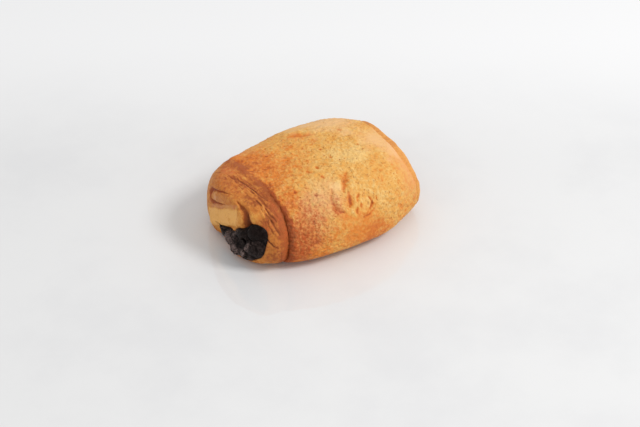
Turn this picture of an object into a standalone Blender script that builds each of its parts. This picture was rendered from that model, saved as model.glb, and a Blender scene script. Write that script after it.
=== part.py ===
"""Pain au chocolat: one rolled piece of dough, open at both ends, round a filling of chocolate.

+X runs along the roll, from the end whose layers have slid out of the wrap; +Z is up.
The origin is at the middle of the underside.
"""

import math

import bmesh
import bpy
import numpy as np

MM = 0.001

# The roll, along X
NEAR_RIM_X = -38.1 * MM  # edge of the outer wrap at the near end
FAR_RIM_X = 46.8 * MM
NEAR_TIP_X = -56.0 * MM  # flat of the nose that stands out of the wrap
FAR_TIP_X = 52.0 * MM
WIDEST_X = 2.7 * MM
HIGHEST_X = 24.6 * MM
HALF_WIDTH = 45.7 * MM
HEIGHT = 42.0 * MM
NEAR_HALF_WIDTH = 36.3 * MM
NEAR_HEIGHT = 39.3 * MM
FAR_HALF_WIDTH = 31.4 * MM
FAR_HEIGHT = 36.4 * MM
SWELL_POWER = 2.2  # how late the width and the height fall off towards the rims

# The cross-section: a rounded loaf, widest low down, on a flat underside
WIDEST_SHARE = 0.33  # height of the widest place, as a share of the section's height
TOP_POWER = 2.84
FOOT_POWER = 2.7
SETTLE = 0.9 * MM  # how far the soft underside has sunk into its flat

# The noses at the two ends
NEAR_NOSE = {"width": 0.26, "height": 0.88, "lift": 1.4 * MM, "power": 2.4}
FAR_NOSE = {"width": 0.40, "height": 0.72, "lift": 2.4 * MM, "power": 2.2}

FLAT_MIDDLE = 16 * MM  # height of the middle of a nose's flat

# The wrap's edge and the layers beside it
RIM_ROUND = 2.4 * MM
RIM_STEP = 2.6 * MM  # deepest step from the wrap down to the nose
FAR_STEP = 1.7 * MM
RIM_WAVE = 1.1 * MM
LAYER_GROOVES = (  # distance from the rim, depth, middle angle and half spread in degrees
    (6.2 * MM, 0.9 * MM, 88, 38),
    (9.8 * MM, 1.0 * MM, 132, 40),
)

# The tucked end of the inner sheet, a tongue with a seam round it
TONGUE_TIP = (15.0 * MM, 27.2 * MM)  # (y, z) of the round end's centre
TONGUE_ROOT = (-9.0 * MM, 34.6 * MM)
TONGUE_RADIUS = 3.9 * MM
SEAM_RADIUS = 0.75 * MM
SEAM_DEPTH = 0.15 * MM  # depth of the seam's middle line

# The chocolate and its channel
CHANNEL_MIDDLE = (-12.5 * MM, 15.4 * MM)  # (y, z) at the near end
CHANNEL_FAR_MIDDLE = (-2.5 * MM, 15.0 * MM)
CHANNEL_WAIST = 0.60  # size inside the roll, as a share of the near end's
CHANNEL_FAR = 0.66  # size at the far end
CHANNEL_LONG = 19.4 * MM
CHANNEL_SHORT = 11.2 * MM
CHANNEL_TILT = 160  # degrees from +Y
CHANNEL_DENT = (6.2 * MM, 50, 58)  # depth, direction and half spread of the layer that presses on it
CHOCOLATE_GAP = 0.3 * MM
CHOCOLATE_PROUD = 2.8 * MM

# Broad hollows: x, y, z of the middle, radii along x, y, z, depth
HOLLOWS = (
    (-54.0 * MM, -18.5 * MM, 31.5 * MM, 9 * MM, 4.6 * MM, 5.2 * MM, 4.2 * MM),  # above the chocolate
    (-0.5 * MM, -38.0 * MM, 31.0 * MM, 3.4 * MM, 8 * MM, 8 * MM, 1.0 * MM),
    (6.5 * MM, -39.0 * MM, 30.0 * MM, 2.6 * MM, 7 * MM, 7 * MM, 0.9 * MM),
    (2.5 * MM, -27.5 * MM, 38.3 * MM, 2.6 * MM, 5 * MM, 5 * MM, 0.7 * MM),
    (-14.0 * MM, 16.0 * MM, 40.0 * MM, 13 * MM, 7 * MM, 9 * MM, 0.8 * MM),
)

AROUND = 80  # points round a section

CRUST = ("crust", (0.80, 0.44, 0.14, 1), 0.55)
DARK_CHOCOLATE = ("dark_chocolate", (0.020, 0.012, 0.010, 1), 0.38)


def swell(x, peak_x, peak, near, far):
    """A size along the roll: peak at peak_x, falling to near and far at the two rims."""
    share = np.where(x < peak_x, (peak_x - x) / (peak_x - NEAR_RIM_X), (x - peak_x) / (FAR_RIM_X - peak_x))
    return peak - (peak - np.where(x < peak_x, near, far)) * np.abs(share) ** SWELL_POWER


def section(angle, half_width, height, lift):
    """(y, z) of a loaf-shaped section at an angle in radians from +Y, turning towards +Z."""
    cosine, sine = np.cos(angle), np.sin(angle)
    power = np.where(sine >= 0, TOP_POWER, FOOT_POWER)
    reach = (np.abs(cosine) ** power + np.abs(sine) ** power) ** (-1 / power)
    middle = lift + (height - lift) * WIDEST_SHARE
    above = np.where(sine >= 0, height - middle, middle - lift)
    return half_width * reach * cosine, middle + above * reach * sine


def near_step(angle):
    """Drop from the wrap's edge to the nose: deep low on the -Y side, slight over the top."""
    return RIM_STEP * (0.10 + 0.90 * np.exp(-(((np.mod(angle, 2 * np.pi) - math.radians(195)) / 1.05) ** 2)))


def rim_wave(angle, end="near"):
    """How far the wrap's edge wanders along X."""
    phase = 0.0 if end == "near" else 2.1
    return RIM_WAVE * (np.cos(angle - 0.5 + phase) + 0.5 * np.sin(3 * angle + 0.4 - phase))


def nose_section(angle, along, end):
    """x, y, z of an end's nose; along runs from 0 at the rim to 1 at the edge of the flat."""
    near = end == "near"
    nose = NEAR_NOSE if near else FAR_NOSE
    rim_x, tip_x = (NEAR_RIM_X, NEAR_TIP_X) if near else (FAR_RIM_X, FAR_TIP_X)
    rim_width, rim_height = (NEAR_HALF_WIDTH, NEAR_HEIGHT) if near else (FAR_HALF_WIDTH, FAR_HEIGHT)
    fall = np.sqrt(np.maximum(0, 1 - along ** nose["power"]))
    step = (near_step(angle) if near else FAR_STEP) * np.maximum(0, 1 - along / 0.45)
    half_width = rim_width * (nose["width"] + (1 - nose["width"]) * fall) - step
    height = rim_height * (nose["height"] + (1 - nose["height"]) * fall) - step
    y, z = section(angle, half_width, height, nose["lift"] * along ** 2)
    x = rim_x + (tip_x - rim_x) * along + rim_wave(angle, end) * (1 - along)
    return x, y, z


def nose_x(y, z):
    """x of the near nose where it crosses (y, z), by halving the range of sections."""
    inner, outer = 1.0, 0.0
    for _ in range(30):
        along = (inner + outer) / 2
        fall = math.sqrt(max(0, 1 - along ** NEAR_NOSE["power"]))
        half_width = NEAR_HALF_WIDTH * (NEAR_NOSE["width"] + (1 - NEAR_NOSE["width"]) * fall)
        height = NEAR_HEIGHT * (NEAR_NOSE["height"] + (1 - NEAR_NOSE["height"]) * fall)
        lift = NEAR_NOSE["lift"] * along ** 2
        middle = lift + (height - lift) * WIDEST_SHARE
        above, power = (height - middle, TOP_POWER) if z > middle else (middle - lift, FOOT_POWER)
        level = abs(y / half_width) ** power + abs((z - middle) / above) ** power
        inner, outer = (along, outer) if level > 1 else (inner, along)
    return NEAR_RIM_X + (NEAR_TIP_X - NEAR_RIM_X) * along


def stations():
    """The sections from the near tip to the far one, each as (part of the roll, place along that part)."""
    sections = [("near_flat", share) for share in (0.25, 0.5, 0.75)]
    sections += [("near_nose", along) for along in (1, 0.98, 0.94, 0.88, 0.8, 0.72)]
    for distance, *_ in reversed(LAYER_GROOVES):
        middle = distance / (NEAR_RIM_X - NEAR_TIP_X)
        sections += [("near_nose", middle + shift) for shift in (0.055, 0, -0.055)]
    sections += [("near_nose", along) for along in (0.2, 0.1, 0)]
    sections += [("near_rim", turn) for turn in (1, 0.66, 0.33, 0)]
    sections += [("body", share) for share in np.linspace(0, 1, 15)[1:-1]]
    sections += [("far_rim", turn) for turn in (0, 0.33, 0.66, 1)]
    sections += [("far_nose", along) for along in (0, 0.2, 0.45, 0.65, 0.8, 0.9, 0.97, 1)]
    sections += [("far_flat", share) for share in (0.66, 0.33)]
    return sections


def place(part, along, angle):
    """x, y, z of the dough's smooth surface for one section."""
    if part.endswith("flat"):
        x, y, z = nose_section(angle, 1.0, part[:-5])
        return x, y * along, FLAT_MIDDLE + (z - FLAT_MIDDLE) * along
    if part.endswith("nose"):
        return nose_section(angle, along, part[:-5])
    inset = 0.0
    if part == "body":
        start, end = NEAR_RIM_X + RIM_ROUND, FAR_RIM_X - RIM_ROUND
        x = start + (end - start) * along + rim_wave(angle) * (1 - along) ** 4
        x = x + rim_wave(angle, "far") * along ** 4
    else:
        turn = along * math.pi / 2
        inward = RIM_ROUND * (1 - math.sin(turn))
        near = part == "near_rim"
        x = NEAR_RIM_X + inward + rim_wave(angle) if near else FAR_RIM_X - inward + rim_wave(angle, "far")
        inset = (near_step(angle) if near else FAR_STEP) * 0.6 * (1 - math.cos(turn))
    half_width = swell(x, WIDEST_X, HALF_WIDTH, NEAR_HALF_WIDTH, FAR_HALF_WIDTH) - inset
    height = swell(x, HIGHEST_X, HEIGHT, NEAR_HEIGHT, FAR_HEIGHT) - inset
    past = np.maximum(0, (x - HIGHEST_X) / (FAR_RIM_X - HIGHEST_X))
    lift = 0.4 * FAR_NOSE["lift"] * past ** 3
    y, z = section(angle, half_width, height, lift)
    return x, y, z


def relief(point):
    """How far the layers' grooves and the broad hollows push a point in."""
    x, y, z = point
    depth = 0.0
    angle = math.degrees(math.atan2(z - 13 * MM, y)) % 360
    from_rim = NEAR_RIM_X + float(rim_wave(math.radians(angle))) * 0.6 - x
    for distance, groove, middle, spread in LAYER_GROOVES:
        fade = math.exp(-(((angle - middle) / spread) ** 4))
        depth += groove * fade * math.exp(-(((from_rim - distance) / (0.8 * MM)) ** 2))
    for hx, hy, hz, rx, ry, rz, deep in HOLLOWS:
        depth += deep * math.exp(-(((x - hx) / rx) ** 2 + ((y - hy) / ry) ** 2 + ((z - hz) / rz) ** 2))
    return depth


def spun_body():
    """The dough before its channel is cut: sections spun round X and set to the loaf's form."""
    bm = bmesh.new()
    sections = stations()
    number = bm.verts.layers.int.new("section")
    ends = [bm.verts.new((-1, 0, 0))]
    for i in range(len(sections)):
        ends.append(bm.verts.new((i, 0, 1)))
    ends.append(bm.verts.new((len(sections), 0, 0)))
    for i, vert in enumerate(ends):
        vert[number] = i - 1
    for first, second in zip(ends, ends[1:]):
        bm.edges.new((first, second))
    bmesh.ops.spin(
        bm,
        geom=bm.verts[:] + bm.edges[:],
        cent=(0, 0, 0),
        axis=(1, 0, 0),
        angle=2 * math.pi,
        steps=AROUND,
        use_merge=True,
    )
    bmesh.ops.remove_doubles(bm, verts=bm.verts, dist=1e-5)
    for vert in bm.verts:
        i = vert[number]
        if not 0 <= i < len(sections):
            vert.co = (NEAR_TIP_X if i < 0 else FAR_TIP_X, 0, FLAT_MIDDLE)
            continue
        vert.co = place(*sections[i], math.atan2(vert.co.z, vert.co.y))
    bmesh.ops.recalc_face_normals(bm, faces=bm.faces)
    bm.normal_update()
    for vert in bm.verts:
        vert.co -= vert.normal * relief(vert.co)
        vert.co.z = max(0, vert.co.z - SETTLE)
    return bm


def channel_outline(angle, inset=0.0):
    """(y, z) of the channel's edge: an ellipse, with the dent of the layer that lies on it."""
    tilt = math.radians(CHANNEL_TILT)
    long, short = CHANNEL_LONG - inset, CHANNEL_SHORT - inset
    reach = long * short / np.hypot(short * np.cos(angle - tilt), long * np.sin(angle - tilt))
    depth, direction, spread = CHANNEL_DENT
    off = np.mod(angle - math.radians(direction) + math.pi, 2 * math.pi) - math.pi
    reach = reach - depth * np.exp(-((off / math.radians(spread)) ** 4))
    return CHANNEL_MIDDLE[0] + reach * np.cos(angle), CHANNEL_MIDDLE[1] + reach * np.sin(angle)


def swept_channel(rows, around, inset=0.0):
    """A closed rod along X: its rows are (x, share of the channel's outline, way to the far end)."""
    bm = bmesh.new()
    bmesh.ops.create_circle(bm, cap_ends=True, segments=around, radius=1)
    cap = bm.faces[:]
    for row in range(1, len(rows)):
        made = bmesh.ops.extrude_face_region(bm, geom=cap)["geom"]
        if row > 1:
            bmesh.ops.delete(bm, geom=cap, context="FACES_ONLY")
        cap = [item for item in made if isinstance(item, bmesh.types.BMFace)]
        bmesh.ops.translate(bm, verts=cap[0].verts[:], vec=(0, 0, 1))
    for vert in bm.verts:
        row = round(vert.co.z)
        x, share, way = rows[row]
        angle = math.atan2(vert.co.y, vert.co.x)
        outline = channel_outline(angle, inset)
        y, z = (
            near + (far - near) * way + (edge - near) * share
            for edge, near, far in zip(outline, CHANNEL_MIDDLE, CHANNEL_FAR_MIDDLE)
        )
        vert.co = (x(y, z) if callable(x) else x, y, z - SETTLE)
    bmesh.ops.recalc_face_normals(bm, faces=bm.faces)
    return bm


def channel_rows():
    """The channel through the roll, wide at the near end."""
    rows = [(-70 * MM, 1.0, 0.0), (-46 * MM, 1.0, 0.0), (-32 * MM, CHANNEL_WAIST, 0.3)]
    rows += [(10 * MM, CHANNEL_WAIST, 0.7), (36 * MM, CHANNEL_WAIST, 1.0), (70 * MM, CHANNEL_FAR + 0.1, 1.0)]
    return rows


def chocolate_rows():
    """The filling: a rod that fills the channel, its ends swollen out of the noses."""

    def out_of_nose(stand):
        return lambda y, z: nose_x(y, z) - stand

    rows = [(out_of_nose(CHOCOLATE_PROUD), 0.30, 0.0), (out_of_nose(0.95 * CHOCOLATE_PROUD), 0.62, 0.0)]
    rows += [(out_of_nose(0.6 * CHOCOLATE_PROUD), 0.88, 0.0), (out_of_nose(0), 0.98, 0.0)]
    rows += [row for row in channel_rows()[1:-1]]
    rows += [(FAR_TIP_X - 1.5 * MM, CHANNEL_FAR, 1.0), (FAR_TIP_X + 0.4 * MM, 0.8 * CHANNEL_FAR, 1.0)]
    rows += [(FAR_TIP_X + 1.0 * MM, 0.5 * CHANNEL_FAR, 1.0)]
    return rows


def seam_path():
    """The seam round the tongue: along its lower side, round the tip and back over it."""
    tip, root = np.array(TONGUE_TIP), np.array(TONGUE_ROOT)
    along = (root - tip) / np.linalg.norm(root - tip)
    across = np.array([-along[1], along[0]])
    points = [root - across * TONGUE_RADIUS + (tip - root) * share for share in (0.12, 0.4, 0.7)]
    for turn in np.radians(np.linspace(-90, -270, 9)):
        points.append(tip + TONGUE_RADIUS * (across * math.sin(turn) + along * math.cos(turn)))
    points += [tip + across * TONGUE_RADIUS + (root - tip) * share for share in (0.3, 0.6)]
    return [(nose_x(y, z) + SEAM_DEPTH, y, z - SETTLE) for y, z in points]


def add_object(name, mesh, collection, finish=None):
    obj = bpy.data.objects.new(name, mesh)
    collection.objects.link(obj)
    if finish:
        label, colour, roughness = finish
        material = bpy.data.materials.new(label)
        material.use_nodes = True
        shader = material.node_tree.nodes["Principled BSDF"]
        shader.inputs["Base Color"].default_value = colour
        shader.inputs["Roughness"].default_value = roughness
        mesh.materials.append(material)
        mesh.shade_smooth()
        mesh.set_sharp_from_angle(angle=math.radians(50))
    else:
        obj.hide_render = True
        obj.display_type = "WIRE"
    return obj


def mesh_from(bm, name):
    mesh = bpy.data.meshes.new(name)
    bm.to_mesh(mesh)
    bm.free()
    return mesh


def seam_cutter(collection):
    """A round-ended tube along the seam, made a mesh so that it can cut."""
    curve = bpy.data.curves.new("seam_path", "CURVE")
    curve.dimensions = "3D"
    curve.bevel_depth = SEAM_RADIUS
    curve.bevel_resolution = 1
    curve.use_fill_caps = True
    spline = curve.splines.new("POLY")
    path = seam_path()
    spline.points.add(len(path) - 1)
    for point, corner in zip(spline.points, path):
        point.co = (*corner, 1)
    guide = bpy.data.objects.new("seam_path", curve)
    collection.objects.link(guide)
    bpy.context.view_layer.update()
    mesh = bpy.data.meshes.new_from_object(guide.evaluated_get(bpy.context.evaluated_depsgraph_get()))
    bpy.data.objects.remove(guide)
    bm = bmesh.new()
    bm.from_mesh(mesh)
    bmesh.ops.remove_doubles(bm, verts=bm.verts, dist=1e-6)
    bmesh.ops.recalc_face_normals(bm, faces=bm.faces)
    bm.to_mesh(mesh)
    bm.free()
    return add_object("seam_cutter", mesh, collection)


def cut(obj, cutter):
    modifier = obj.modifiers.new(cutter.name, "BOOLEAN")
    modifier.operation = "DIFFERENCE"
    modifier.object = cutter
    modifier.solver = "EXACT"


def centre(solids, helpers):
    """Moves everything along X so that the middle of the roll's whole length is at the origin."""
    graph = bpy.context.evaluated_depsgraph_get()
    reach = [corner[0] for obj in solids for corner in obj.evaluated_get(graph).bound_box]
    for obj in (*solids, *helpers):
        obj.location.x = -(min(reach) + max(reach)) / 2


def main():
    for obj in list(bpy.data.objects):
        bpy.data.objects.remove(obj)
    parts = bpy.data.collections.new("pain_au_chocolat")
    cutters = bpy.data.collections.new("cutters")
    for collection in (parts, cutters):
        bpy.context.scene.collection.children.link(collection)

    dough = add_object("dough", mesh_from(spun_body(), "dough"), parts, CRUST)
    channel = swept_channel(channel_rows(), 40)
    cut(dough, add_object("channel_cutter", mesh_from(channel, "channel_cutter"), cutters))
    cut(dough, seam_cutter(cutters))
    filling = swept_channel(chocolate_rows(), 40, CHOCOLATE_GAP)
    chocolate = add_object("chocolate", mesh_from(filling, "chocolate"), parts, DARK_CHOCOLATE)
    centre((dough, chocolate), cutters.objects)


main()
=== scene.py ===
# Pain au chocolat: the browned wrap, the layered noses and the chocolate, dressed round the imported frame.
import math

import bmesh
import bpy
import numpy as np
from mathutils import Matrix, Vector


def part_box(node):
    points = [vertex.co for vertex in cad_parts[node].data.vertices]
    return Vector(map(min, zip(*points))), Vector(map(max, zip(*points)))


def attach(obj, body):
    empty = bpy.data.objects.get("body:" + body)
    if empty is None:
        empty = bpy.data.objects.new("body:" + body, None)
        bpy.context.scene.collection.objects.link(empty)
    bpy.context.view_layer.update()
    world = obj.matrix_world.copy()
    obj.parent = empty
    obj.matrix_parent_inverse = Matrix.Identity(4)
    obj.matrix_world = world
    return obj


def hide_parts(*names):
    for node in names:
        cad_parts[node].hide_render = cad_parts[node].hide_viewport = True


mm = 0.001
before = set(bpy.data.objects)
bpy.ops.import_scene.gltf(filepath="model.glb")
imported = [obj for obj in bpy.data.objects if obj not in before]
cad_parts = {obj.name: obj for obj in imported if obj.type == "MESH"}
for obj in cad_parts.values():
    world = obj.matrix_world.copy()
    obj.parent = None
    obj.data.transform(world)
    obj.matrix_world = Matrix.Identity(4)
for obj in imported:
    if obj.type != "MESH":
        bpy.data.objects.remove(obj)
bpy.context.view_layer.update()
doughLow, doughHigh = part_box("dough")
chocolateLow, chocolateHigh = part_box("chocolate")
print("frame loaded, dough", [round(1000 * side, 1) for side in doughHigh - doughLow], "mm")

# The loaf that every dough piece follows. Places along X are counted from the near tip, at the dough's low end.
loaf = {
    "nearRim": 17.9 * mm,
    "farRim": 102.8 * mm,
    "widest": 58.7 * mm,
    "highest": 80.6 * mm,
    "halfWidth": doughHigh.y,
    "height": doughHigh.z + 0.9 * mm,
    "nearHalfWidth": 36.3 * mm,
    "nearHeight": 39.3 * mm,
    "farHalfWidth": 31.4 * mm,
    "farHeight": 36.4 * mm,
    "swellPower": 2.2,
    "widestShare": 0.33,  # height of the widest place in a section
    "topPower": 2.84,
    "footPower": 2.7,
    "settle": 0.9 * mm,  # the soft underside has sunk this far into its flat
    "rimWave": 1.1 * mm,
    "lining": 2.0 * mm,  # how high the noses lie inside the wrap
}
tipX = doughLow.x
farTipX = doughHigh.x


# Smooth noise from -1 to 1 on a lattice with steps of `size`, the same on every run
def latticeValue(cell, seed):
    mixed = cell[..., 0] * 374761393 + cell[..., 1] * 668265263 + cell[..., 2] * 1442695041 + seed * 974634777
    mixed = (mixed ^ (mixed >> 13)) & 0xFFFFFFFF
    mixed = (mixed * 1274126177) & 0xFFFFFFFF
    return ((mixed ^ (mixed >> 16)) & 0xFFFF) / 32767.5 - 1


def softNoise(points, size, seed=0):
    scaled = points / size
    low = np.floor(scaled).astype(np.int64)
    part = scaled - low
    part = part * part * (3 - 2 * part)
    total = np.zeros(len(points))
    for corner in np.ndindex(2, 2, 2):
        side = np.array(corner)
        weight = np.prod(np.where(side == 1, part, 1 - part), axis=1)
        total += weight * latticeValue(low + side, seed)
    return total


def layeredNoise(points, size, octaves=3, seed=0):
    total, weight = np.zeros(len(points)), 1.0
    for octave in range(octaves):
        total += weight * softNoise(points, size / 2 ** octave, seed + octave)
        weight *= 0.5
    return total / 1.7


# With one jittered dot per lattice cell: distances to the nearest two, the nearest one's own number, and a slope of its own
def dotNoise(points, size, seed=0):
    scaled = points / size
    low = np.floor(scaled).astype(np.int64)
    first = np.full(len(points), 9.0)
    second = np.full(len(points), 9.0)
    number, lean = np.zeros(len(points)), np.zeros(len(points))
    for offset in np.ndindex(3, 3, 3):
        cell = low + np.array(offset) - 1
        dot = np.stack([0.5 + 0.46 * latticeValue(cell, seed + axis) for axis in range(3)], axis=1)
        slope = np.stack([latticeValue(cell, seed + 10 + axis) for axis in range(3)], axis=1)
        distance = np.linalg.norm(cell + dot - scaled, axis=1)
        nearer = distance < first
        second = np.where(nearer, first, np.minimum(second, distance))
        number = np.where(nearer, latticeValue(cell, seed + 7), number)
        lean = np.where(nearer, np.sum((scaled - cell - dot) * slope, axis=1), lean)
        first = np.where(nearer, distance, first)
    return first * size, second * size, number, lean


def smoothStep(value, low, high):
    share = np.clip((value - low) / (high - low), 0, 1)
    return share * share * (3 - 2 * share)


def hump(value, middle, spread, power=2):
    return np.exp(-np.abs((value - middle) / spread) ** power)


def box(value, low, high, soft):
    return smoothStep(value, low - soft, low + soft) * (1 - smoothStep(value, high - soft, high + soft))


def swell(along, peakPlace, peak, near, far):
    before = along < peakPlace
    share = np.where(before, (peakPlace - along) / (peakPlace - loaf["nearRim"]),
                     (along - peakPlace) / (loaf["farRim"] - peakPlace))
    return peak - (peak - np.where(before, near, far)) * np.abs(share) ** loaf["swellPower"]


def loafSection(angle, halfWidth, height, lift):
    cosine, sine = np.cos(angle), np.sin(angle)
    power = np.where(sine >= 0, loaf["topPower"], loaf["footPower"])
    reach = (np.abs(cosine) ** power + np.abs(sine) ** power) ** (-1 / power)
    middle = lift + (height - lift) * loaf["widestShare"]
    above = np.where(sine >= 0, height - middle, middle - lift)
    return halfWidth * reach * cosine, middle + above * reach * sine


def rimWave(angle, phase=0.0):
    return loaf["rimWave"] * (np.cos(angle - 0.5 + phase) + 0.5 * np.sin(3 * angle + 0.4 - phase))


# The wrap's outside at `along` (from the tip) and `angle`
def wrapPlace(along, angle, inset=0.0):
    halfWidth = swell(along, loaf["widest"], loaf["halfWidth"], loaf["nearHalfWidth"], loaf["farHalfWidth"])
    height = swell(along, loaf["highest"], loaf["height"], loaf["nearHeight"], loaf["farHeight"])
    past = np.maximum(0, (along - loaf["highest"]) / (loaf["farRim"] - loaf["highest"]))
    y, z = loafSection(angle, halfWidth - inset, height - inset, past ** 3 * mm + inset * 0.3)
    return np.stack([tipX + along, y, z], axis=-1)


def nearStep(angle):
    low = np.exp(-((np.mod(angle, 2 * np.pi) - math.radians(195)) / 1.05) ** 2)
    return 2.6 * mm * (0.10 + 0.90 * low)


nearNose = {"width": 0.26, "height": 0.88, "lift": 1.4 * mm, "flatMiddle": 16 * mm, "crown": 0.3 * mm}
farNose = {"width": 0.40, "height": 0.72, "lift": 2.4 * mm, "flatMiddle": 16 * mm, "crown": 0.5 * mm}


# A nose: `turn` runs 0 to 1 from the rim to the edge of its flat, 1 to 2 on to the flat's middle, and below 0 inside the wrap
def nosePlace(turn, angle, nose, near=True):
    rim = loaf["nearRim"] if near else loaf["farRim"]
    halfWidth = loaf["nearHalfWidth"] if near else loaf["farHalfWidth"]
    height = loaf["nearHeight"] if near else loaf["farHeight"]
    bend = np.clip(turn, 0, 1) * math.pi / 2
    share = np.sin(bend) ** (1 / 1.2)
    fall = np.cos(bend)
    step = (nearStep(angle) if near else 0.7 * mm) * np.maximum(0, 1 - share / 0.45)
    y, z = loafSection(
        angle,
        halfWidth * (nose["width"] + (1 - nose["width"]) * fall) - step,
        height * (nose["height"] + (1 - nose["height"]) * fall) - step,
        nose["lift"] * share ** 2,
    )
    wave = rimWave(angle, 0.0 if near else 2.1)
    along = rim + wave * (1 - share) + (-rim if near else farTipX - tipX - rim) * share
    inside = np.minimum(turn, 0) * 14 * mm * (-1 if near else 1)
    flat = np.clip(2 - np.maximum(turn, 1), 0, 1)
    y = y * flat
    z = nose["flatMiddle"] + (z - nose["flatMiddle"]) * flat
    crown = nose["crown"] * (1 - flat ** 2) * (-1 if near else 1)
    return np.stack([tipX + along + inside + crown, y, z], axis=-1)


# The near nose's outside at (y, z), found by halving, for what sits on it
def onNearNose(y, z):
    low, high = np.zeros(len(y)), np.ones(len(y))
    for _ in range(24):
        fall = np.cos((low + high) / 2 * math.pi / 2)
        share = (1 - fall ** 2) ** (1 / 2.4)
        halfWidth = loaf["nearHalfWidth"] * (nearNose["width"] + (1 - nearNose["width"]) * fall)
        height = loaf["nearHeight"] * (nearNose["height"] + (1 - nearNose["height"]) * fall)
        lift = nearNose["lift"] * share ** 2
        middle = lift + (height - lift) * loaf["widestShare"]
        above = np.where(z > middle, height - middle, middle - lift)
        power = np.where(z > middle, loaf["topPower"], loaf["footPower"])
        outside = np.abs(y / halfWidth) ** power + np.abs((z - middle) / above) ** power > 1
        low = np.where(outside, low, (low + high) / 2)
        high = np.where(outside, (low + high) / 2, high)
    return tipX + loaf["nearRim"] * (1 - share)


# The chocolate's edge on the near nose, in millimetres of y and z, and the middle that it is seen from
chocolateMiddle = (-12.5 * mm, 15.4 * mm)
chocolateEdge = (
    (10.9, 12.7), (5.0, 13.0), (0.6, 15.0), (-5.0, 16.4), (-9.0, 18.6), (-15.6, 23.6), (-20.3, 28.2), (-24.4, 29.6),
    (-28.5, 27.5), (-30.4, 22.1), (-29.8, 17.5), (-28.3, 11.7), (-24.0, 7.1), (-16.2, 3.8), (-10.5, 4.2), (-3.0, 5.6),
    (3.0, 7.8), (7.5, 10.5),
)


def channelReach(angle):
    edge = np.array(chocolateEdge) * mm - chocolateMiddle
    turns = np.mod(np.arctan2(edge[:, 1], edge[:, 0]), 2 * np.pi)
    order = np.argsort(turns)
    turns, reaches = turns[order], np.hypot(edge[:, 0], edge[:, 1])[order]
    turns = np.concatenate([turns[-3:] - 2 * np.pi, turns, turns[:3] + 2 * np.pi])
    reaches = np.concatenate([reaches[-3:], reaches, reaches[:3]])
    fine = smoothPath(np.stack([turns, reaches], axis=1), 8)
    return np.interp(np.mod(angle, 2 * np.pi), fine[:, 0], fine[:, 1])


# How deep (y, z) lies inside the chocolate's edge, negative outside
def insideChannel(y, z):
    dy, dz = y - chocolateMiddle[0], z - chocolateMiddle[1]
    return channelReach(np.arctan2(dz, dy)) - np.hypot(dy, dz)


# A profile of (place, radius) rolled round X into a closed skin, which keeps the place in x and the turn in y and z
def rolledSkin(profile, around):
    bm = bmesh.new()
    steps = len(profile) - 1
    bmesh.ops.create_grid(bm, x_segments=steps, y_segments=around, size=1)
    for vert in bm.verts:
        place, radius = profile[round((vert.co.x + 1) / 2 * steps)]
        turn = (vert.co.y + 1) * math.pi
        vert.co = (place, radius * math.cos(turn), radius * math.sin(turn))
    bmesh.ops.remove_doubles(bm, verts=bm.verts, dist=1e-6)
    return bm


def skinPlaces(bm):
    flat = np.array([vert.co for vert in bm.verts])
    return flat[:, 0], np.hypot(flat[:, 1], flat[:, 2]), np.mod(np.arctan2(flat[:, 2], flat[:, 1]), 2 * np.pi)


# Moves the skin to its places, then pushes it along its normals, and keeps it above the surface it stands on, or
# above `lowest` where it lies inside another skin
def settleSkin(bm, places, push, lowest=0):
    for vert, place in zip(bm.verts, places):
        vert.co = place
    bmesh.ops.recalc_face_normals(bm, faces=bm.faces)
    bm.normal_update()
    normals = np.array([vert.normal for vert in bm.verts])
    moved = places + normals * push[:, None]
    moved[:, 2] = np.maximum(lowest, moved[:, 2] - loaf["settle"])
    for vert, place in zip(bm.verts, moved):
        vert.co = place
    return moved


def finishPiece(bm, name, material, masks=None):
    mesh = bpy.data.meshes.new(name)
    bm.to_mesh(mesh)
    bm.free()
    for label, values in (masks or {}).items():
        values = np.clip(values, 0, 1).astype(np.float32)
        mesh.attributes.new(label, "FLOAT", "POINT").data.foreach_set("value", values)
    mesh.shade_smooth()
    mesh.materials.append(material)
    piece = bpy.data.objects.new(name, mesh)
    bpy.context.scene.collection.objects.link(piece)
    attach(piece, "root")
    print(name, len(mesh.polygons), "faces")
    return piece


# Distance of each point to the nearest run between the path's spots, and the share of the path that lies before it
def strokeDistance(points, path):
    path = [np.array(spot) for spot in path]
    if len(path) == 1:
        return np.linalg.norm(points - path[0], axis=1), np.full(len(points), 0.5)
    nearest, share = np.full(len(points), 1.0), np.zeros(len(points))
    lengths = [np.linalg.norm(after - before) for before, after in zip(path, path[1:])]
    passed = 0
    for before, after, length in zip(path, path[1:], lengths):
        held = np.clip((points - before) @ (after - before) / length ** 2, 0, 1)
        distance = np.linalg.norm(points - before - held[:, None] * (after - before), axis=1)
        share = np.where(distance < nearest, (passed + held * length) / sum(lengths), share)
        nearest = np.minimum(nearest, distance)
        passed += length
    return nearest, share


# A smooth run through the spots, with more spots in between
def smoothPath(spots, between=5):
    spots = np.array(spots, dtype=float)
    if len(spots) < 3:
        return spots
    ends = np.vstack([2 * spots[0] - spots[1], spots, 2 * spots[-1] - spots[-2]])
    run = []
    for one, two, three, four in zip(ends, ends[1:], ends[2:], ends[3:]):
        for step in range(between):
            t = step / between
            run.append(0.5 * (2 * two + (three - one) * t + (2 * one - 5 * two + 4 * three - four) * t ** 2
                              + (3 * two - one - 3 * three + four) * t ** 3))
    return np.array(run + [spots[-1]])


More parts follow.
